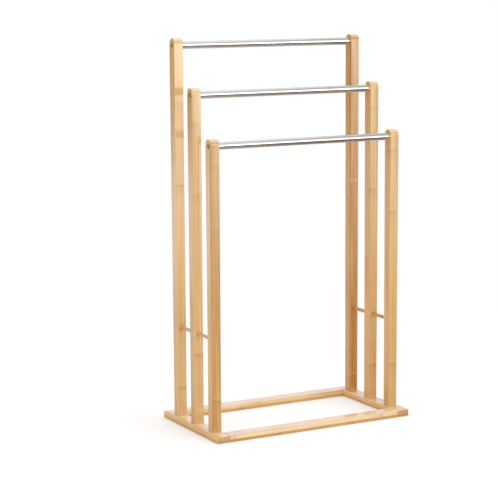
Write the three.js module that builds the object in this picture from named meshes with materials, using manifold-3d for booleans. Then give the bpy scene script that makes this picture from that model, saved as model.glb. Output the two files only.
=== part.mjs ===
// A free-standing towel rack in three steps. A flat bamboo frame lies on the floor. Three bamboo posts stand
// on each of its side rails, low at the front and high at the back, and each pair of posts holds one steel
// bar. Short round dowels brace neighbouring posts near their feet.
//
// Millimetres. +X is to the right of someone who faces the rack, +Y runs towards its back and +Z is up.
// The origin is on the floor, at the centre of the base frame.

import * as THREE from "three";
import { mergeVertices } from "three/addons/utils/BufferGeometryUtils.js";
import Module from "manifold-3d";

const wasm = await Module();
wasm.setup();

// ---------------------------------------------------------------- driving dimensions

// Base frame: two side rails run the full depth, and two cross rails fit between them.
const BASE_WIDTH = 480;
const BASE_DEPTH = 260;
const RAIL_WIDTH = 30;
const RAIL_THICKNESS = 15;
const RAIL_ROUND = 1.5;

// Corner joints: two glued dowels at each corner, half in the side rail and half in the cross rail.
const CORNER_DOWEL_DIAMETER = 6;
const CORNER_DOWEL_LENGTH = 30;
const CORNER_DOWEL_SPACING = 14;
const DOWEL_CHAMFER = 0.6; // at the ends of every dowel

// Posts. The width runs left to right and the depth front to back, and the tops are half round.
const POST_WIDTH = 20;
const POST_DEPTH = 24;
const POST_END_INSET = 48; // from each end of a side rail to the centre of the nearest post
const POST_SETBACK = 1.5; // from a side rail's inner edge to its posts' inner faces
const POST_ROUND = 2;
const REAR_TOP = 840; // height of the rear posts above the floor
const MIDDLE_TOP = 738;
const FRONT_TOP = 637;

// Bars: steel tubes that sit in shallow sockets in the posts.
const BAR_DIAMETER = 16;
const BAR_WALL = 1;
const BAR_DROP = 15; // from a post's top to the bar's axis
const BAR_SOCKET_DEPTH = 6;

// A threaded plug fills each end of a bar, and takes the screw that comes through the post.
const PLUG_LENGTH = 16;
const PLUG_THREAD = 12; // length of screw in the plug

// Spacer dowels between neighbouring posts.
const SPACER_DIAMETER = 8;
const SPACER_HEIGHT = 213; // axis above the floor
const SPACER_SOCKET_DEPTH = 8;

// M6 pan-head screws with a cross recess: one for each bar end, and one up through the rail into each post.
const SCREW_DIAMETER = 6;
const SCREW_HEAD_DIAMETER = 10;
const SCREW_HEAD_HEIGHT = 4;
const SCREW_HEAD_RIM = 1.6; // height of the head's straight edge, below its dome
const SCREW_TIP_CHAMFER = 0.8;
const RECESS_LENGTH = 5;
const RECESS_WIDTH = 1.2;
const RECESS_DEPTH = 2;
const HEAD_SINK = 1.5; // how far a head lies below the wood's surface
const HEAD_HOLE_MARGIN = 0.5; // around a head, in its counterbore

// A threaded insert in the foot of each post.
const INSERT_DIAMETER = 10;
const INSERT_LENGTH = 14;
const INSERT_THREAD = 12; // length of screw in the insert

// The gap between a piece and the hole or socket it fits.
const CLEARANCE = 0.3;

// How finely round shapes are faceted.
const BAR_SIDES = 32;
const DOWEL_SIDES = 16;
const FASTENER_SIDES = 12;
const ROUND_STEPS = 2; // in each rounded edge
const CROWN_STEPS = 12; // in each post's half-round top
const DOME_STEPS = 3; // in each screw head's dome

// How far a cut runs past the face that it opens.
const OVERCUT = 1;

// ---------------------------------------------------------------- derived places

const POST_PITCH = BASE_DEPTH / 2 - POST_END_INSET; // between neighbouring posts' centres
const RAIL_CENTRE_X = (BASE_WIDTH - RAIL_WIDTH) / 2;
const RAIL_CENTRE_Y = (BASE_DEPTH - RAIL_WIDTH) / 2;
const CROSS_RAIL_LENGTH = BASE_WIDTH - 2 * RAIL_WIDTH;
const POST_INNER_X = CROSS_RAIL_LENGTH / 2 + POST_SETBACK;
const POST_CENTRE_X = POST_INNER_X + POST_WIDTH / 2;
const HEAD_HOLE_DIAMETER = SCREW_HEAD_DIAMETER + 2 * HEAD_HOLE_MARGIN;
const HEAD_HOLE_DEPTH = SCREW_HEAD_HEIGHT + HEAD_SINK + CLEARANCE;
const SHANK_HOLE_DIAMETER = SCREW_DIAMETER + 2 * CLEARANCE;
const BAR_END_X = POST_INNER_X + BAR_SOCKET_DEPTH - CLEARANCE;
const CORNER_HOLE_DEPTH = CORNER_DOWEL_LENGTH / 2 + CLEARANCE;
const SPACER_LENGTH = POST_PITCH - POST_DEPTH + 2 * (SPACER_SOCKET_DEPTH - CLEARANCE);

const QUARTER_TURN = Math.PI / 2;

const SIDES = [
  { name: "left", x: -1 },
  { name: "right", x: 1 },
];
const ROWS = [
  { name: "rear", y: POST_PITCH, top: REAR_TOP },
  { name: "middle", y: 0, top: MIDDLE_TOP },
  { name: "front", y: -POST_PITCH, top: FRONT_TOP },
];
// One spacer fills each gap between neighbouring posts.
const SPACERS = [
  { name: "rear", y: POST_PITCH / 2 },
  { name: "front", y: -POST_PITCH / 2 },
];

// ---------------------------------------------------------------- materials

const bamboo = new THREE.MeshStandardMaterial({ color: 0xdcb98a, roughness: 0.45, metalness: 0 });
const paleBamboo = new THREE.MeshStandardMaterial({ color: 0xe6cb9f, roughness: 0.45, metalness: 0 });
const beech = new THREE.MeshStandardMaterial({ color: 0xd9b083, roughness: 0.6, metalness: 0 });
const polishedSteel = new THREE.MeshStandardMaterial({ color: 0xdadada, roughness: 0.12, metalness: 1 });
const zincSteel = new THREE.MeshStandardMaterial({ color: 0xb4b6b8, roughness: 0.35, metalness: 1 });
const brass = new THREE.MeshStandardMaterial({ color: 0xc9a54b, roughness: 0.35, metalness: 1 });

// ---------------------------------------------------------------- solids

/** Turns a closed geometry into a solid that can be cut. */
function solidOf(geometry) {
  geometry.deleteAttribute("normal");
  geometry.deleteAttribute("uv");
  const merged = mergeVertices(geometry);
  const corners = merged.index.array;
  // A lathe's triangles shrink to nothing on its axis, so those are left out.
  const triangles = [];
  for (let i = 0; i < corners.length; i += 3) {
    const [a, b, c] = corners.subarray(i, i + 3);
    if (a !== b && b !== c && c !== a) triangles.push(a, b, c);
  }
  const mesh = new wasm.Mesh({
    numProp: 3,
    vertProperties: merged.attributes.position.array,
    triVerts: new Uint32Array(triangles),
  });
  return new wasm.Manifold(mesh);
}

function geometryOf(solid) {
  const { vertProperties, triVerts } = solid.getMesh();
  const geometry = new THREE.BufferGeometry();
  geometry.setAttribute("position", new THREE.BufferAttribute(vertProperties, 3));
  geometry.setIndex(new THREE.BufferAttribute(triVerts, 1));
  geometry.computeVertexNormals();
  return geometry;
}

/** A plain cylinder about Z, from height `from` to height `to`. */
function cylinder(diameter, from, to, sides) {
  const geometry = new THREE.CylinderGeometry(diameter / 2, diameter / 2, to - from, sides);
  geometry.rotateX(Math.PI / 2);
  geometry.translate(0, 0, (from + to) / 2);
  return solidOf(geometry);
}

/** A solid of revolution about Z. The profile holds [radius, height] pairs that go up the outside. */
function turned(profile, sides) {
  const points = profile.map(([radius, height]) => new THREE.Vector2(radius, height));
  const geometry = new THREE.LatheGeometry(points, sides);
  geometry.rotateX(Math.PI / 2);
  return solidOf(geometry);
}

/** A round tube about Z, from height 0 to `length`. */
function tube(outer, inner, length, sides) {
  const [a, b] = [outer / 2, inner / 2];
  return turned([[b, 0], [a, 0], [a, length], [b, length], [b, 0]], sides);
}

/** A dowel about Z with chamfered ends, centred on the origin. */
function dowel(diameter, length) {
  const [radius, half] = [diameter / 2, length / 2];
  const profile = [
    [0, -half],
    [radius - DOWEL_CHAMFER, -half],
    [radius, DOWEL_CHAMFER - half],
    [radius, half - DOWEL_CHAMFER],
    [radius - DOWEL_CHAMFER, half],
    [0, half],
  ];
  return turned(profile, DOWEL_SIDES);
}

/** A rectangle with rounded corners, centred on the origin. */
function roundedRectangle(width, height, radius) {
  const [x, y] = [width / 2 - radius, height / 2 - radius];
  const shape = new THREE.Shape();
  shape.absarc(x, y, radius, 0, Math.PI / 2);
  shape.absarc(-x, y, radius, Math.PI / 2, Math.PI);
  shape.absarc(-x, -y, radius, Math.PI, 1.5 * Math.PI);
  shape.absarc(x, -y, radius, 1.5 * Math.PI, 2 * Math.PI);
  return shape;
}

/** Extrudes a shape along Z, centred on the origin. */
function extruded(shape, length) {
  const geometry = new THREE.ExtrudeGeometry(shape, {
    depth: length,
    bevelEnabled: false,
    curveSegments: ROUND_STEPS,
  });
  geometry.translate(0, 0, -length / 2);
  return solidOf(geometry);
}

// ---------------------------------------------------------------- base frame

/** Cuts the two dowel holes of one corner into a rail, where its face at `faceX` meets the other rail. */
function cutCornerHoles(rail, faceX, centreY) {
  const diameter = CORNER_DOWEL_DIAMETER + 2 * CLEARANCE;
  const hole = cylinder(diameter, -CORNER_HOLE_DEPTH, CORNER_HOLE_DEPTH, DOWEL_SIDES).rotate([0, 90, 0]);
  let cut = rail;
  for (const offset of [-0.5, 0.5]) {
    cut = cut.subtract(hole.translate([faceX, centreY + offset * CORNER_DOWEL_SPACING, 0]));
  }
  return cut;
}

/** A side rail, centred on the origin, with its inner edge on the side that `inner` (-1 or 1) names. */
function sideRail(inner) {
  const endView = extruded(roundedRectangle(RAIL_WIDTH, RAIL_THICKNESS, RAIL_ROUND), BASE_DEPTH);
  const topView = extruded(roundedRectangle(RAIL_WIDTH, BASE_DEPTH, RAIL_ROUND), RAIL_THICKNESS);
  const sideView = extruded(roundedRectangle(RAIL_THICKNESS, BASE_DEPTH, RAIL_ROUND), RAIL_WIDTH);
  let rail = topView.intersect(endView.rotate([90, 0, 0])).intersect(sideView.rotate([0, 90, 0]));
  for (const end of [-1, 1]) rail = cutCornerHoles(rail, (inner * RAIL_WIDTH) / 2, end * RAIL_CENTRE_Y);

  const postX = inner * (RAIL_CENTRE_X - POST_CENTRE_X);
  const half = RAIL_THICKNESS / 2;
  const headHole = cylinder(HEAD_HOLE_DIAMETER, -half - OVERCUT, HEAD_HOLE_DEPTH - half, DOWEL_SIDES);
  const shankHole = cylinder(SHANK_HOLE_DIAMETER, -half, half + OVERCUT, FASTENER_SIDES);
  const screwHoles = headHole.add(shankHole);
  for (const row of ROWS) rail = rail.subtract(screwHoles.translate([postX, row.y, 0]));
  return rail;
}

/** A cross rail, centred on the origin, with square ends that meet the side rails. */
function crossRail() {
  const section = roundedRectangle(RAIL_THICKNESS, RAIL_WIDTH, RAIL_ROUND);
  let rail = extruded(section, CROSS_RAIL_LENGTH).rotate([0, 90, 0]);
  for (const end of [-1, 1]) rail = cutCornerHoles(rail, (end * CROSS_RAIL_LENGTH) / 2, 0);
  return rail;
}

// ---------------------------------------------------------------- posts

/** The side view of a post, in (front-to-back, up), from `foot` to a half-round top at `height`. */
function postOutline(foot, height) {
  const radius = POST_DEPTH / 2;
  const shape = new THREE.Shape();
  shape.moveTo(-radius, foot);
  shape.lineTo(radius, foot);
  shape.absarc(0, height - radius, radius, 0, Math.PI);
  return shape;
}

/**
 * A post that stands on the origin, `height` tall. Its outer face is on the side that `outer` (-1 or 1)
 * names, and `spacerSides` lists the faces, -1 for the front and 1 for the back, that take a spacer dowel.
 */
function post(height, outer, spacerSides) {
  const geometry = new THREE.ExtrudeGeometry(postOutline(-2 * POST_ROUND, height), {
    depth: POST_WIDTH - 2 * POST_ROUND,
    bevelThickness: POST_ROUND,
    bevelSize: POST_ROUND,
    bevelOffset: -POST_ROUND,
    bevelSegments: ROUND_STEPS,
    curveSegments: CROWN_STEPS,
  });
  // The outline's own axes become Y and Z, and the extrusion runs along X.
  geometry.translate(0, 0, POST_ROUND - POST_WIDTH / 2);
  geometry.rotateX(Math.PI / 2);
  geometry.rotateZ(Math.PI / 2);
  const floor = new THREE.BoxGeometry(2 * POST_WIDTH, 2 * POST_DEPTH, 4 * POST_ROUND);
  floor.translate(0, 0, -2 * POST_ROUND);
  let wood = solidOf(geometry).subtract(solidOf(floor));

  // Through the top, from the inner face out: bar socket, shank hole and counterbore for the screw's head.
  const half = POST_WIDTH / 2;
  const socket = cylinder(BAR_DIAMETER + 2 * CLEARANCE, -half - OVERCUT, BAR_SOCKET_DEPTH - half, BAR_SIDES);
  const shankHole = cylinder(SHANK_HOLE_DIAMETER, -half, half, FASTENER_SIDES);
  const headHole = cylinder(HEAD_HOLE_DIAMETER, half - HEAD_HOLE_DEPTH, half + OVERCUT, DOWEL_SIDES);
  const barHoles = socket.add(shankHole).add(headHole).rotate([0, 90 * outer, 0]);
  wood = wood.subtract(barHoles.translate([0, 0, height - BAR_DROP]));

  const face = POST_DEPTH / 2;
  const spacerHole = cylinder(
    SPACER_DIAMETER + 2 * CLEARANCE,
    face - SPACER_SOCKET_DEPTH,
    face + OVERCUT,
    DOWEL_SIDES,
  );
  for (const side of spacerSides) {
    const turnedHole = spacerHole.rotate([-90 * side, 0, 0]);
    wood = wood.subtract(turnedHole.translate([0, 0, SPACER_HEIGHT - RAIL_THICKNESS]));
  }
  const insertHoleDiameter = INSERT_DIAMETER + 2 * CLEARANCE;
  return wood.subtract(cylinder(insertHoleDiameter, -OVERCUT, INSERT_LENGTH + CLEARANCE, DOWEL_SIDES));
}

// ---------------------------------------------------------------- fasteners

/** A pan-head screw about Z: the head's underside is at height 0 and the shank hangs `length` below it. */
function screw(length) {
  const [shank, head] = [SCREW_DIAMETER / 2, SCREW_HEAD_DIAMETER / 2];
  const dome = SCREW_HEAD_HEIGHT - SCREW_HEAD_RIM;
  const profile = [
    [0, -length],
    [shank - SCREW_TIP_CHAMFER, -length],
    [shank, SCREW_TIP_CHAMFER - length],
    [shank, 0],
    [head, 0],
    [head, SCREW_HEAD_RIM],
  ];
  for (let step = 1; step < DOME_STEPS; step++) {
    const angle = (step / DOME_STEPS) * QUARTER_TURN;
    profile.push([head * Math.cos(angle), SCREW_HEAD_RIM + dome * Math.sin(angle)]);
  }
  profile.push([0, SCREW_HEAD_HEIGHT]);
  const slot = new THREE.BoxGeometry(RECESS_LENGTH, RECESS_WIDTH, 2 * RECESS_DEPTH);
  slot.translate(0, 0, SCREW_HEAD_HEIGHT);
  const recess = solidOf(slot);
  return turned(profile, FASTENER_SIDES).subtract(recess).subtract(recess.rotate([0, 0, 90]));
}

// ---------------------------------------------------------------- assembly

const rack = new THREE.Group();

function addPiece(name, geometry, material, position, rotation = [0, 0, 0]) {
  const mesh = new THREE.Mesh(geometry, material);
  mesh.name = name;
  mesh.position.set(...position);
  mesh.rotation.set(...rotation);
  rack.add(mesh);
}

function addBaseFrame() {
  const middle = RAIL_THICKNESS / 2;
  for (const side of SIDES) {
    const rail = geometryOf(sideRail(-side.x));
    addPiece(`${side.name}_side_rail`, rail, bamboo, [side.x * RAIL_CENTRE_X, 0, middle]);
  }
  const cross = geometryOf(crossRail());
  addPiece("rear_cross_rail", cross, bamboo, [0, RAIL_CENTRE_Y, middle]);
  addPiece("front_cross_rail", cross, bamboo, [0, -RAIL_CENTRE_Y, middle]);

  const peg = geometryOf(dowel(CORNER_DOWEL_DIAMETER, CORNER_DOWEL_LENGTH));
  for (const side of SIDES) {
    for (const [end, endY] of [["rear", 1], ["front", -1]]) {
      for (const [place, offset] of [["outer", 0.5], ["inner", -0.5]]) {
        const y = endY * (RAIL_CENTRE_Y + offset * CORNER_DOWEL_SPACING);
        const position = [(side.x * CROSS_RAIL_LENGTH) / 2, y, middle];
        addPiece(`${end}_${side.name}_corner_dowel_${place}`, peg, beech, position, [0, QUARTER_TURN, 0]);
      }
    }
  }
}

function addPosts() {
  const headZ = HEAD_SINK + SCREW_HEAD_HEIGHT;
  const footScrew = geometryOf(screw(RAIL_THICKNESS - headZ + INSERT_THREAD));
  const insert = geometryOf(tube(INSERT_DIAMETER, SHANK_HOLE_DIAMETER, INSERT_LENGTH, DOWEL_SIDES));
  for (const side of SIDES) {
    for (const row of ROWS) {
      const spacerSides = [-1, 1].filter((way) => Math.abs(row.y + way * POST_PITCH) <= POST_PITCH);
      const wood = geometryOf(post(row.top - RAIL_THICKNESS, side.x, spacerSides));
      const name = `${side.name}_${row.name}_post`;
      const x = side.x * POST_CENTRE_X;
      addPiece(name, wood, paleBamboo, [x, row.y, RAIL_THICKNESS]);
      addPiece(`${name}_insert`, insert, brass, [x, row.y, RAIL_THICKNESS]);
      addPiece(`${name}_screw`, footScrew, zincSteel, [x, row.y, headZ], [Math.PI, 0, 0]);
    }
    for (const spacer of SPACERS) {
      const rod = geometryOf(dowel(SPACER_DIAMETER, SPACER_LENGTH));
      const position = [side.x * POST_CENTRE_X, spacer.y, SPACER_HEIGHT];
      addPiece(`${side.name}_${spacer.name}_spacer_dowel`, rod, paleBamboo, position, [QUARTER_TURN, 0, 0]);
    }
  }
}

function addBars() {
  const boreDiameter = BAR_DIAMETER - 2 * BAR_WALL;
  const bar = tube(BAR_DIAMETER, boreDiameter, 2 * BAR_END_X, BAR_SIDES).translate([0, 0, -BAR_END_X]);
  const barGeometry = geometryOf(bar);
  const plug = geometryOf(tube(boreDiameter - 2 * CLEARANCE, SHANK_HOLE_DIAMETER, PLUG_LENGTH, DOWEL_SIDES));
  const headX = POST_INNER_X + POST_WIDTH - HEAD_SINK - SCREW_HEAD_HEIGHT;
  const barScrew = geometryOf(screw(headX - BAR_END_X + PLUG_THREAD));
  for (const row of ROWS) {
    const z = row.top - BAR_DROP;
    addPiece(`${row.name}_bar`, barGeometry, polishedSteel, [0, row.y, z], [0, QUARTER_TURN, 0]);
    for (const side of SIDES) {
      const outward = [0, side.x * QUARTER_TURN, 0];
      const inward = [0, -side.x * QUARTER_TURN, 0];
      const name = `${row.name}_bar_${side.name}`;
      addPiece(`${name}_plug`, plug, zincSteel, [side.x * BAR_END_X, row.y, z], inward);
      addPiece(`${name}_screw`, barScrew, zincSteel, [side.x * headX, row.y, z], outward);
    }
  }
}

addBaseFrame();
addPosts();
addBars();

export default rack;
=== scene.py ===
"""A free-standing bamboo towel rack: a flat frame, three stepped pairs of posts and three steel bars.

Every piece is built in metres in the frame's own places: +X to the right, +Y to the back, +Z up, and the
origin on the floor under the middle of the base.
"""

import math
import random
from functools import partial, reduce

import bmesh
import bpy
from mathutils import Matrix, Vector


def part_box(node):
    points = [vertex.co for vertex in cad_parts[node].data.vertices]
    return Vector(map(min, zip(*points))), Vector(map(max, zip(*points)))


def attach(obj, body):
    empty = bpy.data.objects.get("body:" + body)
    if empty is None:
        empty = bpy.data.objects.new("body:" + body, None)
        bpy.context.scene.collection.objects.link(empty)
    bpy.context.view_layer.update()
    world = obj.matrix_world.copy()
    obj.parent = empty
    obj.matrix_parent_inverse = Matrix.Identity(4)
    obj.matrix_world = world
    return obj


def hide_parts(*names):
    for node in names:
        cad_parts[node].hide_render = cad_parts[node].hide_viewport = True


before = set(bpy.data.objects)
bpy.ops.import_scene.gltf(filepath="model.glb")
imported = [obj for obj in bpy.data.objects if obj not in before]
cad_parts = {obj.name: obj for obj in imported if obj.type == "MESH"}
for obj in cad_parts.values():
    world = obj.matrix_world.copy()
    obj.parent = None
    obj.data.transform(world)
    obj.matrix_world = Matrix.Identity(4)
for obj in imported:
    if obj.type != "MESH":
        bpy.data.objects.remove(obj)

bl_info = {
    "name": "Bamboo towel rack",
    "version": (1, 0, 0),
    "blender": (4, 5, 0),
    "location": "View3D > Sidebar > Towel rack",
    "description": "Builds the pieces, finishes and studio of a bamboo towel rack around its packed model",
    "category": "Object",
}

MM = 0.001
BODY = "root"
SIDES = {"left": -1, "right": 1}
ROWS = ("rear", "middle", "front")
ENDS = ("rear", "front")
X_AXIS = Vector((1, 0, 0))
Y_AXIS = Vector((0, 1, 0))
Z_AXIS = Vector((0, 0, 1))

# How finely the shapes are divided.
ARRIS_STEPS = 5
CROWN_STEPS = 56
RIM_STEPS = 3
DOME_STEPS = 10
BAR_SIDES = 96
DOWEL_SIDES = 48
HOLE_SIDES = 56
SCREW_SIDES = 72
FLOOR_SIDES = 96
SHARP_ANGLE = math.radians(38)
FLAT_FACE_WEIGHT = 100  # how far the large faces rule the shading of the rounded edges

# Screws: a domed head with a cross recess.
HEAD_HEIGHT = 4 * MM
HEAD_RIM = 1.6 * MM
HEAD_BREAK = 0.25 * MM
HEAD_CLEARANCE = 0.3 * MM  # between a head's underside and its seat
HEAD_HOLE_MARGIN = 0.5 * MM
SHANK_DIAMETER = 6 * MM
TIP_CHAMFER = 0.8 * MM
THREAD_PITCH = 1 * MM
THREAD_DEPTH = 0.35 * MM
RECESS_LENGTH = 5 * MM
RECESS_WIDTH = 1.2 * MM
RECESS_DEPTH = 2 * MM
RECESS_TAPER = 0.62  # the recess's size at its bottom, as a share of its size at the top

# Holes and sockets.
OVERCUT = 1 * MM  # how far a cutter runs past the face that it opens
CLEARANCE = 0.3 * MM  # round a piece in its hole
BAR_SOCKET_DEPTH = 6 * MM
SPACER_SOCKET_DEPTH = 8 * MM
BORE_RIM = 0.35 * MM  # the small break on the mouth of a bore

# Bars, dowels, plugs and inserts.
BAR_WALL = 1 * MM
DOWEL_CHAMFER = 0.6 * MM
PLUG_CHAMFER = 0.4 * MM
INSERT_CHAMFER = 0.5 * MM
FLUTE_COUNT = 16
FLUTE_SIDES = 4
FLUTE_DEPTH = 0.22 * MM

# The tone of a piece's first layer and of its other layers: 0 is pale and 1 is warm. Below 0 it turns to
# the crest colour, and above 1 only its palest streaks still show.
POST_TONES = {
    ("left", "rear"): (0.06, 0.34),
    ("left", "middle"): (0.06, 0.46),
    ("left", "front"): (0.58, 0.36),
    ("right", "rear"): (1.05, 0.58),
    ("right", "middle"): (0.32, 0.38),
    ("right", "front"): (0.34, 0.36),
}
# The rails' upper layers go below 0 partly as painted light. The two-tone layers are real, but the crest
# colour on the upper layer stands in for the highlight along the rails' top edges and for brighter light on
# their faces.
RAIL_TONES_AND_LIGHT = {"left": (0.34, -0.12), "right": (0.36, -0.10), "rear": (0.16, -0.30), "front": (0.44, -0.40)}
SPACER_TONES = {"left": (0.50, 0.50), "right": (1.30, 1.30)}

# The seed of a piece's fibres and of its knuckles' heights.
POST_SEEDS = {
    ("left", "rear"): 1352,
    ("left", "middle"): 1946,
    ("left", "front"): 3149,
    ("right", "rear"): 2208,
    ("right", "middle"): 836,
    ("right", "front"): 1901,
}
RAIL_SEEDS = {"left": 20, "right": 22, "rear": 1536, "front": 2695}
SPACER_SEEDS = {("left", "rear"): 41, ("left", "front"): 42, ("right", "rear"): 43, ("right", "front"): 44}

# Knuckles: the first from a piece's low end, then a long and a short gap, each between two lengths.
FIRST_KNUCKLE = (20 * MM, 170 * MM)
LONG_GAP = (330 * MM, 460 * MM)
SHORT_GAP = (110 * MM, 190 * MM)
KNUCKLE_STRENGTH = (0.40, 1.0)
LAYER_SLIDE = 460 * MM  # how far the knuckles of the inner layers may lie from the outer layer's

# A knuckle's marks, by their distance along the stem from its middle.
KNUCKLE_WAVE_SCALE = 110.0
KNUCKLE_WANDER = 7 * MM
BAND_EDGE = (0.0, 8 * MM)
SCAR_PLACE = -1.5 * MM
SCAR_EDGE = (0.3 * MM, 2 * MM)
LIP_PLACE = 6 * MM
LIP_EDGE = (0.5 * MM, 4.5 * MM)
STAIN_FOOT = (-38 * MM, -2 * MM)
STAIN_TOP = (-3 * MM, 2 * MM)

# Glued strips: how wide they are, how far the first layer is planed down, and where their seams lie.
POST_STRIP = 40 * MM
POST_PLANED = 0.3 * MM
RAIL_STRIP = 19 * MM
RAIL_PLANED = 3.3 * MM
DOWEL_LAYER = 30 * MM
DOWEL_PLANED = 10 * MM
STRIP_DRIFT = 0.12
STRIP_DRIFT_SCALE = 3.0
STRIP_STAGGER = 0.37
LAYER_SEAM = (0.47, 0.5)
STRIP_SEAM = (0.488, 0.5)

# The grain's scales across the stem, and how far each is drawn out along it.
STREAK_SCALE, STREAK_DRAW = 330.0, 0.012
PATCH_SCALE, PATCH_DRAW = 190.0, 0.05
FIBRE_SCALE, FIBRE_DRAW = 1500.0, 0.02
FIBRE_SPAN = (0.48, 0.72)
CLOUD_SCALE, CLOUD_DRAW = 14.0, 0.4

# How the bamboo's tone varies, and where its crest, straw and cut ends begin and end. On a post the cut-end
# span paints the upward-facing crown in the crest colour, as painted light from above.
STRIP_SWING = 0.34
STREAK_SWING = 1.5
CLOUD_SWING = 0.35
CREST_AND_LIGHT_SPAN = (-0.50, 0.0)
STRAW_SPAN = (0.42, 0.68)
STRAW_SHARE = 0.35
SQUARE_CUT = (0.75, 0.98)
CROWN_TOP_LIGHT = (0.15, 0.80)
END_AND_TOP_LIGHT_SHARE = 0.55

# How much each mark tints the bamboo, roughens it, and raises or sinks it.
TINTS = {"Fibres": 0.20, "Stain": 0.16, "Lip": 0.32, "Band": 0.14, "Scar": 0.20, "Seam": 0.26}
ROUGHENING = {"Smudge": 0.08, "Fibres": 0.06, "Bare": 0.35, "Cut End": 0.15, "Dust": 0.12}
RELIEF = {"Fibres": -0.35, "Streaks": 0.25, "Seam": -0.6, "Band": 0.5, "Scar": -0.5}
CLEAN_EASE = 0.04  # how much smoother the bamboo is where nothing marks it
BAMBOO_BUMP, BAMBOO_RELIEF = 0.5, 0.12 * MM

# Lacquer.
COAT_ROUGHNESS = 0.10
COAT_IOR = 2.0
UNDERCOAT_SPECULAR = 0.12
BAMBOO_IOR = 1.5

# Edge wear: how rounded a place counts as an edge, and how the rubbing breaks up.
WEAR_EDGE = (0.12, 0.46)
WEAR_PATCH_SCALE = 55.0
WEAR_PATCHES = (0.38, 0.66)

SMUDGE_SPAN = (0.3, 0.72)
DUST_SPAN = (0.66, 0.8)
METAL_BUMP = 0.3

# Bare beech.
BEECH_DARK = (0.66, 0.42, 0.24)
BEECH_PALE = (0.78, 0.55, 0.34)
BEECH_PORE = (0.40, 0.20, 0.10)
BEECH_STRETCH = (0.03, 1.0, 1.0)
BEECH_TONE_SCALE = 160.0
BEECH_PORE_SCALE = 1400.0
BEECH_PORES = (0.5, 0.7)
BEECH_PORE_SHARE = 0.3
BEECH_ROUGHNESS, BEECH_PORE_ROUGHNESS = 0.62, 0.15
BEECH_BUMP, BEECH_PORE_DEPTH = 0.4, -0.1 * MM

# Floor: it fades out towards its rim. For reflections only it is painted darker, as a painted dark
# reflection.
FLOOR_RADIUS = 1.6
FLOOR_DROP = -0.05 * MM  # just under the rack's feet
FLOOR_FADE = (0.60, 0.98)  # shares of its radius
FLOOR_TONE_SCALE = 2.0
FLOOR_VARIATION = 1.02
REFLECTION_SPLIT = (-0.10, 0.45)
REFLECTION_BACK = (-0.05, 0.35)

# The air as reflections see it. Each pair is a soft edge, in the parts of a direction that point up, across
# or to the back. Each light is a brightness, or two: on the low or left side of an edge and on the other.
AHEAD_EDGE = (-0.12, 0.12)
FRONT_DIM = 0.08
PANEL_EDGE, PANEL_LIGHT = (0.46, 0.56), (1.0, 0.70)
GLARE_FAR_FOOT, GLARE_FAR_LIGHT = (-0.24, -0.06), 0.55
GLARE_NEAR_FOOT, GLARE_NEAR_LIGHT = (-0.08, -0.02), 0.45
GLARE_TOP = (0.0, 0.08)
GLARE_TINT_TOP = (0.04, 0.16)
WALL_FOOT = (-0.02, 0.06)
WALL_FADE, WALL_LIGHT = (0.12, 0.50), (2.2, 0.78)
BOOM_FOOT, BOOM_TOP = (0.66, 0.72), (0.84, 0.90)
BOOM_EDGE, BOOM_LIGHT = (0.46, 0.54), (-0.16, -0.40)
BACK_DIM = 0.18
SWEEP_FOOT, SWEEP_TOP = (-0.22, -0.15), (-0.13, -0.06)
SWEEP_EDGE, SWEEP_LIGHT = (-0.54, -0.46), (0.45, 1.15)
ABOVE_FOOT = (0.02, 0.14)
ABOVE_FADE, ABOVE_LIGHT = (0.40, 0.50), (1.00, 0.60)
ZENITH_FOOT, ZENITH_LIGHT = (0.60, 0.80), 0.22
RIM_FOOT, RIM_TOP = (0.45, 0.55), (0.75, 0.85)
RIM_EDGE, RIM_LIGHT = (0.48, 0.54), -0.40

# Camera.
CAMERA_PLACE = (-1.83147, -3.20165, 0.95635)
CAMERA_YAW = math.radians(28.55)
CAMERA_PITCH = math.radians(-8.94)
CAMERA_ROLL = math.radians(-0.35)
SENSOR_WIDTH = 36.0

WHITE = (1.0, 1.0, 1.0, 1.0)
BLACK = (0.0, 0.0, 0.0, 1.0)


# ---------------------------------------------------------------- settings


def colour_setting(name, description, default):
    return bpy.props.FloatVectorProperty(
        name=name,
        description=description,
        default=default,
        size=3,
        min=0.0,
        max=1.0,
        subtype="COLOR",
    )


def number_setting(name, description, default, low=0.0, high=1.0, **kind):
    """A number between two limits. kind is its unit or its subtype."""
    return bpy.props.FloatProperty(
        name=name,
        description=description,
        default=default,
        min=low,
        max=high,
        **kind,
    )


length_setting = partial(number_setting, unit="LENGTH")
share_setting = partial(number_setting, subtype="FACTOR")
power_setting = partial(number_setting, high=2000.0, unit="POWER")


class RackShape(bpy.types.PropertyGroup):
    """Small roundings that the pieces are given."""

    post_round: length_setting(
        "Post rounding",
        "Radius of the long edges and the crown's edges of every post",
        2 * MM,
        0.2 * MM,
        5 * MM,
    )
    rail_round: length_setting("Rail rounding", "Radius of the rails' edges", 1.5 * MM, 0.2 * MM, 5 * MM)
    bar_round: length_setting(
        "Bar end rounding",
        "Radius of the break at each end of a bar",
        0.3 * MM,
        0.05 * MM,
        0.45 * MM,
    )


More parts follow.
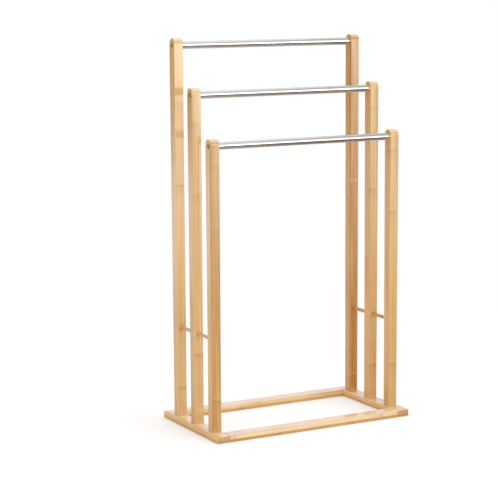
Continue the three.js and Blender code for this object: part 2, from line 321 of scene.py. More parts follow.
class BambooFinish(bpy.types.PropertyGroup):
    """Colours and measures of the lacquered bamboo."""

    pale: colour_setting("Pale bamboo", "Colour of the pale strips", (0.80, 0.505, 0.205))
    warm: colour_setting("Warm bamboo", "Colour of the warmest strips", (0.48, 0.185, 0.018))
    # The crest colour is the palest strips, and is also painted light: on the post crowns and on the rails'
    # upper layers.
    crest_and_painted_light: colour_setting(
        "Crest",
        "Colour of the palest strips and of the post tops, painted with light from above",
        (0.95, 0.74, 0.46),
    )
    straw: colour_setting("Straw", "Colour of the yellower streaks", (0.74, 0.46, 0.155))
    knuckle: colour_setting(
        "Knuckle",
        "Colour of the fibres, the seams and the scars where the stem had its knuckles",
        (0.36, 0.125, 0.025),
    )
    end_grain: colour_setting("End grain", "Colour of the cut ends of rails and rods", (0.42, 0.21, 0.08))
    roughness: share_setting("Roughness", "Roughness of the bamboo under its lacquer", 0.46, 0.05)
    coat: share_setting("Lacquer", "Strength of the clear lacquer over the bamboo", 0.90)
    wear: share_setting("Edge wear", "How far the lacquer is rubbed thin along the edges", 0.35)
    post_layer: length_setting(
        "Post layer",
        "Thickness of the layers that a post is glued up from",
        6.15 * MM,
        3 * MM,
        12 * MM,
    )
    rail_layer: length_setting(
        "Rail layer",
        "Thickness of the layers that a rail is glued up from",
        9.3 * MM,
        3 * MM,
        12 * MM,
    )


class MetalFinish(bpy.types.PropertyGroup):
    """Colours and polish of the metal pieces."""

    bar_colour: colour_setting("Bar steel", "Colour of the polished bars", (0.86, 0.86, 0.85))
    bar_roughness: share_setting("Bar roughness", "Roughness of the polished bars", 0.17)
    # The screws' zinc is darker than plain plating. It is partly the plate's real colour and partly painted
    # shade that darkens the screw heads in their counterbores.
    zinc_and_shade_colour: colour_setting("Zinc", "Colour of the plated screws and plugs", (0.25, 0.255, 0.265))
    brass_colour: colour_setting("Brass", "Colour of the threaded inserts", (0.72, 0.50, 0.18))


class StudioSettings(bpy.types.PropertyGroup):
    """The floor, lights and camera."""

    floor_colour: colour_setting("Floor", "Colour of the floor", (0.90, 0.90, 0.90))
    floor_glow: number_setting("Floor glow", "Light that the floor itself gives off", 0.07)
    # The three colours below are painted reflection: the floor shows them only to reflections, darker than
    # it is.
    left_floor_reflection: colour_setting(
        "Left floor reflection",
        "What reflections see of the floor at the front left and under the rack",
        (0.46, 0.41, 0.39),
    )
    right_floor_reflection: colour_setting(
        "Right floor reflection",
        "What reflections see of the floor at the front right",
        (0.18, 0.155, 0.15),
    )
    back_floor_reflection: colour_setting(
        "Back floor reflection",
        "What reflections see of the floor behind the rack",
        (0.62, 0.60, 0.58),
    )
    ambient: number_setting("Ambient", "Brightness of the light that comes from all round", 0.84, high=5.0)
    back_colour: colour_setting(
        "Back colour",
        "Tint of the panel behind the rack, as reflections see it",
        (0.70, 0.75, 1.0),
    )
    glare_colour: colour_setting(
        "Glare colour",
        "Tint of the low panel in front, as reflections see it",
        (1.0, 0.975, 0.86),
    )
    glare: number_setting(
        "Glare",
        "Brightness of the low panel in front, as reflections see it",
        4.0,
        high=20.0,
    )
    key: power_setting("Key light", "Power of the large lamp at the front right", 22.0)
    top: power_setting("Top light", "Power of the large lamp overhead", 26.0)
    lens: number_setting("Lens", "Focal length of the camera", 122.36, 20.0, 400.0, unit="CAMERA")


# ---------------------------------------------------------------- meshes


def new_object(name, data):
    made = bpy.data.objects.new(name, data)
    bpy.context.scene.collection.objects.link(made)
    return made


def mesh_from(bm, name):
    bmesh.ops.recalc_face_normals(bm, faces=bm.faces)
    mesh = bpy.data.meshes.new(name)
    bm.to_mesh(mesh)
    bm.free()
    return mesh


def join_loops(bm, low, high):
    """Adds the faces between two closed loops of points, of which either may be a single point."""
    count = max(len(low), len(high))
    for index in range(count):
        after = (index + 1) % count
        corners = [low[index % len(low)], low[after % len(low)]]
        corners += [high[after % len(high)], high[index % len(high)]]
        bm.faces.new(list(dict.fromkeys(corners)))


def add_turned(bm, profile, sides, centre, axis, radius_at=None):
    """Adds a solid of revolution. profile holds (radius, height) pairs, and ends on the axis or on itself.

    Heights run from centre along axis. radius_at, if given, changes a radius for an angle: it takes both.
    """
    turn = Z_AXIS.rotation_difference(axis).to_matrix()
    rings = []
    for radius, height in profile:
        if radius == 0:
            rings.append([bm.verts.new(centre + turn @ Vector((0, 0, height)))])
            continue
        ring = []
        for side in range(sides):
            angle = math.tau * side / sides
            reach = radius_at(radius, angle) if radius_at else radius
            point = Vector((reach * math.cos(angle), reach * math.sin(angle), height))
            ring.append(bm.verts.new(centre + turn @ point))
        rings.append(ring)
    if len(rings[0]) > 1:
        rings.append(rings[0])
    for low, high in zip(rings, rings[1:]):
        join_loops(bm, low, high)


def plain_hole(radius, low, high):
    """The profile of a round cutter between two heights."""
    return [(0, low), (radius, low), (radius, high), (0, high)]


def chamfered(radius, half, chamfer, bore=0):
    """The profile of a rod, or of a tube round a bore, with its outer edges broken."""
    return [
        (bore, -half),
        (radius - chamfer, -half),
        (radius, chamfer - half),
        (radius, half - chamfer),
        (radius - chamfer, half),
        (bore, half),
    ]


def thread_profile(radius, low, high):
    """(radius, height) pairs of a ringed thread between two heights, upwards."""
    pairs = []
    height = low
    while height + THREAD_PITCH <= high:
        pairs.append((radius - THREAD_DEPTH, height))
        pairs.append((radius, height + THREAD_PITCH / 2))
        height += THREAD_PITCH
    pairs.append((radius - THREAD_DEPTH, height))
    return pairs


def round_edges(bm, edges, radius):
    bmesh.ops.bevel(
        bm,
        geom=edges,
        offset=radius,
        offset_type="OFFSET",
        segments=ARRIS_STEPS,
        profile=0.5,
        affect="EDGES",
    )


def add_rounded_box(bm, lo, hi, radius, edge_axes):
    """Adds a box whose edges along the named axes are rounded."""
    placed = Matrix.Translation((lo + hi) / 2) @ Matrix.Diagonal((*(hi - lo), 1))
    box = bmesh.ops.create_cube(bm, size=1, matrix=placed)
    edges = {edge for corner in box["verts"] for edge in corner.link_edges}
    rounded = []
    for edge in edges:
        run = (edge.verts[1].co - edge.verts[0].co).normalized()
        if any(round(abs(run.dot(axis))) for axis in edge_axes):
            rounded.append(edge)
    rounded.sort(key=lambda edge: edge.index)
    round_edges(bm, rounded, radius)


def applied(piece):
    """Replaces the piece's mesh with what its modifiers make of it."""
    bpy.context.view_layer.update()
    depsgraph = bpy.context.evaluated_depsgraph_get()
    seen = piece.evaluated_get(depsgraph)
    mesh = bpy.data.meshes.new_from_object(seen, preserve_all_data_layers=True, depsgraph=depsgraph)
    piece.modifiers.clear()
    piece.data = mesh
    mesh.name = piece.name


def cut_away(piece, tool_mesh):
    """Cuts the closed solids of tool_mesh out of the piece."""
    tool = new_object("cutter", tool_mesh)
    cut = piece.modifiers.new("holes", "BOOLEAN")
    cut.operation = "DIFFERENCE"
    cut.solver = "EXACT"
    cut.object = tool
    applied(piece)
    bpy.data.objects.remove(tool)
    bpy.data.meshes.remove(tool_mesh)
    if not piece.data.polygons:
        raise RuntimeError(f"cutting the holes left nothing of {piece.name}")


def smooth(piece):
    """Shades the piece smooth, with its flat faces kept flat and its sharp edges sharp."""
    piece.data.shade_smooth()
    piece.data.set_sharp_from_angle(angle=SHARP_ANGLE)
    weighted = piece.modifiers.new("flat faces", "WEIGHTED_NORMAL")
    weighted.keep_sharp = True
    weighted.weight = FLAT_FACE_WEIGHT
    applied(piece)


def write_points(piece, name, kind, values):
    """Stores one value for each point of the piece's mesh."""
    made = piece.data.attributes.new(name, kind, "POINT")
    field = "vector" if kind == "FLOAT_VECTOR" else "value"
    for point, value in zip(made.data, values):
        setattr(point, field, value)


def grain_marks(piece, seed, tones, across, layered, along, gaps=(LONG_GAP, SHORT_GAP)):
    """Stores where each point lies in the bamboo: across its width, through its layers, along its fibres.

    It also stores the tones of the first layer and of the others, a seed, and the heights and strengths of
    three knuckles.
    """
    chance = random.Random(seed)
    corners = [vertex.co for vertex in piece.data.vertices]
    low_layer = min(point.dot(layered) for point in corners)
    low_along = min(point.dot(along) for point in corners)
    middle = (min(point.dot(across) for point in corners) + max(point.dot(across) for point in corners)) / 2
    places = []
    for point in corners:
        depth = point.dot(layered) - low_layer
        places.append((point.dot(across) - middle, depth, point.dot(along) - low_along))
    first = chance.uniform(*FIRST_KNUCKLE)
    second = first + chance.uniform(*gaps[0])
    third = second + chance.uniform(*gaps[1])
    heights = (first, second, third)
    strengths = [chance.uniform(*KNUCKLE_STRENGTH) for _ in heights]

    count = len(corners)
    write_points(piece, "grain", "FLOAT_VECTOR", places)
    write_points(piece, "knuckles", "FLOAT_VECTOR", [heights] * count)
    write_points(piece, "knuckle_strength", "FLOAT_VECTOR", [strengths] * count)
    for name, value in (("first_tone", tones[0]), ("inner_tone", tones[1]), ("seed", seed)):
        write_points(piece, name, "FLOAT", [value] * count)


def settle(piece, material, slot, *nodes):
    """Gives a finished piece its material, hides the nodes that it stands for and hangs it under the body.
    """
    piece.data.materials.clear()
    piece.data.materials.append(material)
    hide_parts(*nodes)
    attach(piece, BODY)


# ---------------------------------------------------------------- node trees


MIX_FIRST, MIX_SECOND, MIX_RESULT = 6, 7, 2  # places of the Mix node's colour sockets
FLOAT = "NodeSocketFloat"
VECTOR = "NodeSocketVector"


def opaque(colour):
    return (*colour, 1.0)


class Graph:
    """A node tree in the making. Each method adds nodes, and most return the output with their result."""

    def __init__(self, tree):
        self.tree = tree

    def feed(self, socket, value):
        """Links an output to the socket, or sets the socket to a plain value."""
        if isinstance(value, bpy.types.NodeSocket):
            self.tree.links.new(value, socket)
        else:
            socket.default_value = value

    def node(self, kind, inputs=None, **settings):
        made = self.tree.nodes.new(kind)
        for name, value in settings.items():
            setattr(made, name, value)
        for name, value in (inputs or {}).items():
            self.feed(made.inputs[name], value)
        return made

    def math(self, operation, first, second=0.0):
        return self.node("ShaderNodeMath", {0: first, 1: second}, operation=operation).outputs[0]

    def total(self, *values):
        return reduce(partial(self.math, "ADD"), values)

    def times(self, *values):
        return reduce(partial(self.math, "MULTIPLY"), values)

    def weighed(self, start, marks, shares):
        """start, plus each of the marks that has a share times that share."""
        return self.total(start, *[self.times(marks[name], share) for name, share in shares.items()])

    def absolute(self, value):
        return self.math("ABSOLUTE", value)

    def centred(self, value):
        """A value from 0 to 1, moved to lie from -0.5 to 0.5."""
        return self.math("SUBTRACT", value, 0.5)

    def inverse(self, value):
        return self.math("SUBTRACT", 1.0, value)

    def vector(self, operation, first, second=(0.0, 0.0, 0.0)):
        made = self.node("ShaderNodeVectorMath", {0: first, 1: second}, operation=operation)
        return made.outputs["Value" if operation in ("LENGTH", "DOT_PRODUCT") else "Vector"]

    def split(self, vector):
        made = self.node("ShaderNodeSeparateXYZ", {"Vector": vector})
        return made.outputs["X"], made.outputs["Y"], made.outputs["Z"]

    def join(self, x, y, z):
        return self.node("ShaderNodeCombineXYZ", {"X": x, "Y": y, "Z": z}).outputs["Vector"]

    def noise(self, vector, scale, detail=2.0, roughness=0.5):
        inputs = {"Vector": vector, "Scale": scale, "Detail": detail, "Roughness": roughness}
        return self.node("ShaderNodeTexNoise", inputs).outputs["Fac"]

    def chance(self, vector):
        """Three random numbers, as a vector, that stay the same over each whole-numbered cell."""
        return self.node("ShaderNodeTexWhiteNoise", {"Vector": vector}).outputs["Color"]

    def ramp(self, value, edge, ends=(0.0, 1.0)):
        """Goes softly from one of the two ends to the other as value crosses the edge."""
        inputs = {
            "Value": value,
            "From Min": edge[0],
            "From Max": edge[1],
            "To Min": ends[0],
            "To Max": ends[1],
        }
        made = self.node("ShaderNodeMapRange", inputs, interpolation_type="SMOOTHSTEP")
        return made.outputs["Result"]

    def fall(self, value, edge):
        return self.ramp(value, edge, (1.0, 0.0))

    def band(self, value, low_edge, high_edge):
        """1 between two soft edges, and 0 outside them."""
        return self.times(self.ramp(value, low_edge), self.fall(value, high_edge))

    def mix(self, factor, first, second):
        """A mix of two colours. The factor is held between 0 and 1."""
        inputs = {"Factor": factor, MIX_FIRST: first, MIX_SECOND: second}
        return self.node("ShaderNodeMix", inputs, data_type="RGBA").outputs[MIX_RESULT]

    def attribute(self, name, output):
        return self.node("ShaderNodeAttribute", attribute_name=name).outputs[output]

    def coordinates(self, output):
        return self.node("ShaderNodeTexCoord").outputs[output]

    def bump(self, height, strength, distance):
        inputs = {"Height": height, "Strength": strength, "Distance": distance}
        return self.node("ShaderNodeBump", inputs).outputs["Normal"]

    def use(self, effect, inputs):
        """Places a shared effect and returns its outputs."""
        return self.node("ShaderNodeGroup", inputs, node_tree=shared(effect)).outputs


def new_group(name, inputs, outputs):
    """Makes an empty shader node group, and returns it with its graph, its inputs and its outputs."""
    group = bpy.data.node_groups.new(name, "ShaderNodeTree")
    for label, kind in inputs.items():
        group.interface.new_socket(name=label, in_out="INPUT", socket_type=kind)
    for label in outputs:
        group.interface.new_socket(name=label, in_out="OUTPUT", socket_type=FLOAT)
    graph = Graph(group)
    given = graph.node("NodeGroupInput").outputs
    wanted = graph.node("NodeGroupOutput").inputs
    return group, graph, given, wanted


def edge_wear_group():
    """Edge wear: a mask of rounded edges, broken up where hands and cloths rub them unevenly.

    Crown is 1 for a piece that is round from front to back, so that its crown doesn't count as an edge.
    """
    inputs = {"Normal": VECTOR, "Place": VECTOR, "Crown": FLOAT, "Break Up": FLOAT}
    group, graph, given, wanted = new_group("Edge wear", inputs, ["Mask"])
    x, y, z = graph.split(graph.vector("ABSOLUTE", given["Normal"]))
    rounded = graph.math("SQRT", graph.total(graph.times(y, y), graph.times(z, z)))
    pairs = (graph.times(x, y), graph.times(y, z), graph.times(x, z))
    flat_pair = reduce(partial(graph.math, "MAXIMUM"), pairs)
    crown_pair = graph.times(x, rounded)
    flat_share = graph.times(flat_pair, graph.inverse(given["Crown"]))
    pair = graph.total(flat_share, graph.times(crown_pair, given["Crown"]))
    patches = graph.noise(given["Place"], WEAR_PATCH_SCALE, detail=3.0)
    rubbed = graph.times(graph.ramp(patches, WEAR_PATCHES), given["Break Up"])
    broken = graph.total(rubbed, graph.inverse(given["Break Up"]))
    graph.feed(wanted["Mask"], graph.times(graph.ramp(pair, WEAR_EDGE), broken))
    return group


def handling_group():
    """Handling marks: soft smudges and a fine scatter of dust, each from 0 to 1."""
    inputs = {"Place": VECTOR, "Smudge Scale": FLOAT, "Dust Scale": FLOAT}
    group, graph, given, wanted = new_group("Handling", inputs, ["Smudge", "Dust"])
    wide = graph.noise(given["Place"], given["Smudge Scale"], detail=4.0, roughness=0.6)
    graph.feed(wanted["Smudge"], graph.ramp(wide, SMUDGE_SPAN))
    specks = graph.noise(given["Place"], given["Dust Scale"], detail=1.0)
    graph.feed(wanted["Dust"], graph.ramp(specks, DUST_SPAN))
    return group


def bamboo_strip_group():
    """Bamboo strips: glued layers of split stem, each with its own tone, long streaks and fine fibres."""
    inputs = {"Grain": VECTOR}
    inputs.update(dict.fromkeys(("Seed", "Layer Thickness", "Planed", "Strip Width"), FLOAT))
    outputs = ["Layer Tone", "First Layer", "Streaks", "Patches", "Fibres", "Seam", "Slide"]
    group, graph, given, wanted = new_group("Bamboo strips", inputs, outputs)
    across, through, along = graph.split(given["Grain"])
    layers = graph.math("DIVIDE", graph.total(through, given["Planed"]), given["Layer Thickness"])
    layer = graph.math("FLOOR", layers)
    wander = graph.noise(graph.join(0.0, layer, along), STRIP_DRIFT_SCALE, detail=1.0)
    drift = graph.times(wander, STRIP_DRIFT)
    stagger = graph.math("FRACT", graph.times(layer, STRIP_STAGGER))
    strips = graph.total(graph.math("DIVIDE", across, given["Strip Width"]), stagger, drift)
    strip = graph.math("FLOOR", strips)
    luck = graph.chance(graph.join(layer, strip, given["Seed"]))
    tone, slide, _ = graph.split(luck)
    graph.feed(wanted["Layer Tone"], tone)
    graph.feed(wanted["First Layer"], graph.math("LESS_THAN", layer, 0.5))
    inner = graph.math("GREATER_THAN", layer, 0.5)
    graph.feed(wanted["Slide"], graph.times(graph.centred(slide), inner, 2 * LAYER_SLIDE))

    own_x, own_y, own_z = graph.split(graph.vector("ADD", given["Grain"], luck))
    long_way = graph.join(own_x, own_y, graph.times(own_z, STREAK_DRAW))
    graph.feed(wanted["Streaks"], graph.noise(long_way, STREAK_SCALE, roughness=0.6))
    slow_way = graph.join(own_y, own_x, graph.times(own_z, PATCH_DRAW))
    graph.feed(wanted["Patches"], graph.noise(slow_way, PATCH_SCALE))
    fibre_way = graph.join(own_x, own_y, graph.times(own_z, FIBRE_DRAW))
    graph.feed(wanted["Fibres"], graph.ramp(graph.noise(fibre_way, FIBRE_SCALE, roughness=0.6), FIBRE_SPAN))

    layer_gap = graph.absolute(graph.centred(graph.math("FRACT", layers)))
    strip_gap = graph.absolute(graph.centred(graph.math("FRACT", strips)))
    seam = graph.math("MAXIMUM", graph.ramp(layer_gap, LAYER_SEAM), graph.ramp(strip_gap, STRIP_SEAM))
    graph.feed(wanted["Seam"], seam)
    return group


def knuckle_group():
    """Bamboo knuckles: a soft brown band at each joint of the stem, a pale lip above and a stain below."""
    inputs = {"Grain": VECTOR, "Heights": VECTOR, "Strengths": VECTOR, "Slide": FLOAT}
    outputs = ["Band", "Scar", "Lip", "Stain"]
    group, graph, given, wanted = new_group("Bamboo knuckles", inputs, outputs)
    across, through, along = graph.split(given["Grain"])
    wave = graph.noise(graph.join(across, through, 0.0), KNUCKLE_WAVE_SCALE)
    placed = graph.total(along, graph.times(graph.centred(wave), KNUCKLE_WANDER), given["Slide"])
    marks = None
    for height, strength in zip(graph.split(given["Heights"]), graph.split(given["Strengths"])):
        away = graph.math("SUBTRACT", placed, height)
        shapes = (
            graph.fall(graph.absolute(away), BAND_EDGE),
            graph.fall(graph.absolute(graph.total(away, -SCAR_PLACE)), SCAR_EDGE),
            graph.fall(graph.absolute(graph.total(away, -LIP_PLACE)), LIP_EDGE),
            graph.band(away, STAIN_FOOT, STAIN_TOP),
        )
        shapes = [graph.times(shape, strength) for shape in shapes]
        if marks:
            shapes = [graph.math("MAXIMUM", old, new) for old, new in zip(marks, shapes)]
        marks = shapes
    for name, mark in zip(outputs, marks):
        graph.feed(wanted[name], mark)
    return group


def polish_group():
    """Polish lines: fine scratches left by polishing. Stretch draws them out along each axis."""
    inputs = {"Place": VECTOR, "Stretch": VECTOR, "Density": FLOAT}
    group, graph, given, wanted = new_group("Polish lines", inputs, ["Lines"])
    drawn = graph.vector("MULTIPLY", given["Place"], given["Stretch"])
    graph.feed(wanted["Lines"], graph.noise(drawn, given["Density"], detail=3.0, roughness=0.6))
    return group


def shared(name):
    """The named node group, built the first time that it is asked for."""
    makers = {
        "Edge wear": edge_wear_group,
        "Handling": handling_group,
        "Bamboo strips": bamboo_strip_group,
        "Bamboo knuckles": knuckle_group,
        "Polish lines": polish_group,
    }
    return bpy.data.node_groups.get(name) or makers[name]()


# ---------------------------------------------------------------- materials


def new_material(name):
    """A new material, its graph and its shader's inputs."""
    material = bpy.data.materials.new(name)
    material.use_nodes = True
    graph = Graph(material.node_tree)
    return material, graph, material.node_tree.nodes["Principled BSDF"].inputs


def bamboo(name, along, layer, planed, strip, crowned=False):
    """Lacquered bamboo.

    along is the fibres' direction, layer and strip are the sizes of the glued strips, planed is how much of
    the first layer is gone, and crowned is for the round-topped posts, whose upward-facing crowns get
    painted light from above in the crest colour.
    """
    if name in bpy.data.materials:
        return bpy.data.materials[name]
    finish = bpy.context.scene.rack_bamboo
    material, graph, shader = new_material(name)
    grain = graph.attribute("grain", "Vector")
    normal = graph.coordinates("Normal")
    place = graph.coordinates("Object")
    strips = graph.use(
        "Bamboo strips",
        {
            "Grain": grain,
            "Seed": graph.attribute("seed", "Fac"),
            "Layer Thickness": layer,
            "Planed": planed,
            "Strip Width": strip,
        },
    )
    knuckles = graph.use(
        "Bamboo knuckles",
        {
            "Grain": grain,
            "Heights": graph.attribute("knuckles", "Vector"),
            "Strengths": graph.attribute("knuckle_strength", "Vector"),
            "Slide": strips["Slide"],
        },
    )
    handled = graph.use("Handling", {"Place": place, "Smudge Scale": 9.0, "Dust Scale": 900.0})
    marks = {output.name: output for outputs in (strips, knuckles, handled) for output in outputs}

    clouds = graph.noise(graph.vector("MULTIPLY", place, (1.0, 1.0, CLOUD_DRAW)), CLOUD_SCALE)
    inner_tone = graph.attribute("inner_tone", "Fac")
    step = graph.math("SUBTRACT", graph.attribute("first_tone", "Fac"), inner_tone)
    warmth = graph.total(
        inner_tone,
        graph.times(marks["First Layer"], step),
        graph.times(graph.centred(marks["Layer Tone"]), STRIP_SWING),
        graph.times(graph.centred(marks["Streaks"]), STREAK_SWING),
        graph.times(graph.centred(clouds), CLOUD_SWING),
    )
    colour = graph.mix(warmth, opaque(finish.pale), opaque(finish.warm))
    # Warmth below 0 turns to the crest colour. On the rails' upper layers this is painted highlight.
    colour = graph.mix(graph.fall(warmth, CREST_AND_LIGHT_SPAN), colour, opaque(finish.crest_and_painted_light))
    straw = graph.times(graph.ramp(marks["Patches"], STRAW_SPAN), STRAW_SHARE)
    colour = graph.mix(straw, colour, opaque(finish.straw))
    for mark, share in TINTS.items():
        tint = finish.pale if mark == "Lip" else finish.knuckle
        colour = graph.mix(graph.times(marks[mark], share), colour, opaque(tint))
    # On the rails this mark is the real, darker end grain. On a post it is painted light from above: the
    # pale crest colour on the upward-facing crown.
    facing = graph.absolute(graph.vector("DOT_PRODUCT", normal, along))
    marks["Cut End"] = graph.ramp(facing, CROWN_TOP_LIGHT if crowned else SQUARE_CUT)
    end_grain_and_top_light = finish.crest_and_painted_light if crowned else finish.end_grain
    colour = graph.mix(graph.times(marks["Cut End"], END_AND_TOP_LIGHT_SHARE), colour, opaque(end_grain_and_top_light))
    rub = {"Normal": normal, "Place": place, "Crown": float(crowned), "Break Up": 0.7}
    marks["Bare"] = graph.times(graph.use("Edge wear", rub)["Mask"], finish.wear)
    colour = graph.mix(marks["Bare"], colour, opaque(finish.pale))
    graph.feed(shader["Base Color"], colour)

    graph.feed(shader["Roughness"], graph.weighed(finish.roughness - CLEAN_EASE, marks, ROUGHENING))
    lacquer = graph.math("SUBTRACT", finish.coat, graph.times(marks["Bare"], finish.coat))
    graph.feed(shader["Coat Weight"], lacquer)
    shader["Coat Roughness"].default_value = COAT_ROUGHNESS
    shader["Coat IOR"].default_value = COAT_IOR
    shader["Specular IOR Level"].default_value = UNDERCOAT_SPECULAR
    shader["IOR"].default_value = BAMBOO_IOR
    relief = graph.weighed(0.0, marks, RELIEF)
    graph.feed(shader["Normal"], graph.bump(relief, BAMBOO_BUMP, BAMBOO_RELIEF))
    return material


def post_bamboo():
    layer = bpy.context.scene.rack_bamboo.post_layer
    return bamboo("Bamboo post", Z_AXIS, layer, POST_PLANED, POST_STRIP, crowned=True)


def rail_bamboo(kind, along):
    layer = bpy.context.scene.rack_bamboo.rail_layer
    return bamboo(f"Bamboo {kind} rail", along, layer, RAIL_PLANED, RAIL_STRIP)


def round_bamboo():
    return bamboo("Bamboo dowel", Y_AXIS, DOWEL_LAYER, DOWEL_PLANED, POST_STRIP)


def beech():
    """Bare beech for the glued corner dowels."""
    name = "Beech"
    if name in bpy.data.materials:
        return bpy.data.materials[name]
    material, graph, shader = new_material(name)
    drawn = graph.vector("MULTIPLY", graph.coordinates("Object"), BEECH_STRETCH)
    pores = graph.ramp(graph.noise(drawn, BEECH_PORE_SCALE), BEECH_PORES)
    tone = graph.noise(drawn, BEECH_TONE_SCALE)
    colour = graph.mix(tone, opaque(BEECH_DARK), opaque(BEECH_PALE))
    colour = graph.mix(graph.times(pores, BEECH_PORE_SHARE), colour, opaque(BEECH_PORE))
    graph.feed(shader["Base Color"], colour)
    graph.feed(shader["Roughness"], graph.total(BEECH_ROUGHNESS, graph.times(pores, BEECH_PORE_ROUGHNESS)))
    graph.feed(shader["Normal"], graph.bump(pores, BEECH_BUMP, BEECH_PORE_DEPTH))
    return material


def metal(name, colour, roughness, stretch, density, line_depth, smudge, dark):
    """A metal finish.

    stretch draws out its polish lines, density and line_depth are how close and how deep they are, smudge is
    how much handling roughens it, and dark is the share of colour lost in smudges.
    """
    if name in bpy.data.materials:
        return bpy.data.materials[name]
    material, graph, shader = new_material(name)
    place = graph.coordinates("Object")
    lines = graph.use("Polish lines", {"Place": place, "Stretch": stretch, "Density": density})["Lines"]
    handled = graph.use("Handling", {"Place": place, "Smudge Scale": 16.0, "Dust Scale": 1200.0})
    duller = tuple(part * (1 - dark) for part in colour)
    graph.feed(shader["Base Color"], graph.mix(handled["Smudge"], opaque(colour), opaque(duller)))
    shader["Metallic"].default_value = 1.0
    marks = {"Smudge": handled["Smudge"], "Lines": graph.centred(lines), "Dust": handled["Dust"]}
    graph.feed(shader["Roughness"], graph.weighed(roughness, marks, dict.fromkeys(marks, smudge)))
    graph.feed(shader["Normal"], graph.bump(lines, METAL_BUMP, line_depth))
    return material


def polished_steel():
    finish = bpy.context.scene.rack_metal
    return metal(
        "Polished steel",
        finish.bar_colour,
        finish.bar_roughness,
        stretch=(0.01, 1.0, 1.0),
        density=900.0,
        line_depth=0.0003 * MM,
        smudge=0.008,
        dark=0.04,
    )


def shaded_zinc():
    # Dark zinc: its colour is partly painted shade for the screw heads in their counterbores.
    return metal(
        "Zinc plate",
        bpy.context.scene.rack_metal.zinc_and_shade_colour,
        roughness=0.14,
        stretch=(1.0, 1.0, 1.0),
        density=1500.0,
        line_depth=0.02 * MM,
        smudge=0.14,
        dark=0.14,
    )


def brass():
    return metal(
        "Brass",
        bpy.context.scene.rack_metal.brass_colour,
        roughness=0.30,
        stretch=(1.0, 1.0, 0.1),
        density=1500.0,
        line_depth=0.02 * MM,
        smudge=0.12,
        dark=0.15,
    )


# ---------------------------------------------------------------- pieces


def measures(node):
    """A node's middle, and half its size along each axis."""
    lo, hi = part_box(node)
    return (lo + hi) / 2, (hi - lo) / 2


def turned_piece(name, node, profile, sides, axis, radius_at=None):
    """A smooth piece turned round an axis through the middle of its node."""
    bm = bmesh.new()
    add_turned(bm, profile, sides, measures(node)[0], axis, radius_at)
    piece = new_object(name, mesh_from(bm, node))
    smooth(piece)
    return piece


def build_rail(name, kind, across, along, edge_axes, gaps, tools):
    """A rail of the base, with the holes of tools cut into it."""
    node = f"{name}_{kind}_rail"
    bm = bmesh.new()
    add_rounded_box(bm, *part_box(node), bpy.context.scene.rack_shape.rail_round, edge_axes)
    piece = new_object(f"bamboo_rail_{name}", mesh_from(bm, node))
    cut_away(piece, mesh_from(tools, "holes"))
    smooth(piece)
    grain_marks(piece, RAIL_SEEDS[name], RAIL_TONES_AND_LIGHT[name], across, Z_AXIS, along, gaps)
    settle(piece, rail_bamboo(kind, along), "bamboo_rail", node)


def add_corner_holes(tools, side, way, end=""):
    """Adds cutters for the corner dowels on one side. way points out of the rail's mating face."""
    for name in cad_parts:
        if "corner_dowel" in name and side in name and name.startswith(end):
            middle, half = measures(name)
            hole = plain_hole(half.y + CLEARANCE, -half.x - CLEARANCE, OVERCUT)
            add_turned(tools, hole, DOWEL_SIDES, middle, way)


def build_side_rail(side):
    """A rail that runs from front to back, with seats for three screw heads in its underside."""
    lo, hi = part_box(f"{side}_side_rail")
    tools = bmesh.new()
    for row in ROWS:
        head_lo, head_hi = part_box(f"{side}_{row}_post_screw")
        foot = (head_lo + head_hi) / 2
        head = (head_hi.x - head_lo.x) / 2 + HEAD_HOLE_MARGIN
        shank = SHANK_DIAMETER / 2 + CLEARANCE
        seat = head_lo.z + HEAD_HEIGHT + HEAD_CLEARANCE - lo.z
        top = hi.z - lo.z + OVERCUT
        profile = [
            (0, -OVERCUT),
            (head + BORE_RIM + OVERCUT, -OVERCUT),
            (head, BORE_RIM),
            (head, seat),
            (shank, seat),
            (shank, top),
            (0, top),
        ]
        add_turned(tools, profile, HOLE_SIDES, Vector((foot.x, foot.y, lo.z)), Z_AXIS)
    add_corner_holes(tools, side, X_AXIS * -SIDES[side])
    every_axis = (X_AXIS, Y_AXIS, Z_AXIS)
    build_rail(side, "side", X_AXIS, Y_AXIS, every_axis, (LONG_GAP, SHORT_GAP), tools)


def build_cross_rail(end):
    """A rail that runs from side to side, with square ends against the side rails."""
    tools = bmesh.new()
    for side, way in SIDES.items():
        add_corner_holes(tools, side, X_AXIS * way, end)
    build_rail(end, "cross", Y_AXIS, X_AXIS, (X_AXIS,), (SHORT_GAP, LONG_GAP), tools)


def add_post_body(bm, lo, hi, radius):
    """Adds a post: an upright block with a half-round top, and rounded edges all but round its foot."""
    reach = (hi.y - lo.y) / 2
    middle = (hi.y + lo.y) / 2
    outline = [(lo.y, lo.z), (hi.y, lo.z)]
    for step in range(CROWN_STEPS + 1):
        angle = math.pi * step / CROWN_STEPS
        outline.append((middle + reach * math.cos(angle), hi.z - reach + reach * math.sin(angle)))
    sections = [[bm.verts.new((x, y, z)) for y, z in outline] for x in (lo.x, hi.x)]
    for section in sections:
        bm.faces.new(section)
    join_loops(bm, *sections)
    arrises = []
    for edge in bm.edges:
        one, other = (corner.co for corner in edge.verts)
        at_foot = one.z == lo.z and other.z == lo.z
        if one.x == other.x and not at_foot:
            arrises.append(edge)
    round_edges(bm, arrises, radius)


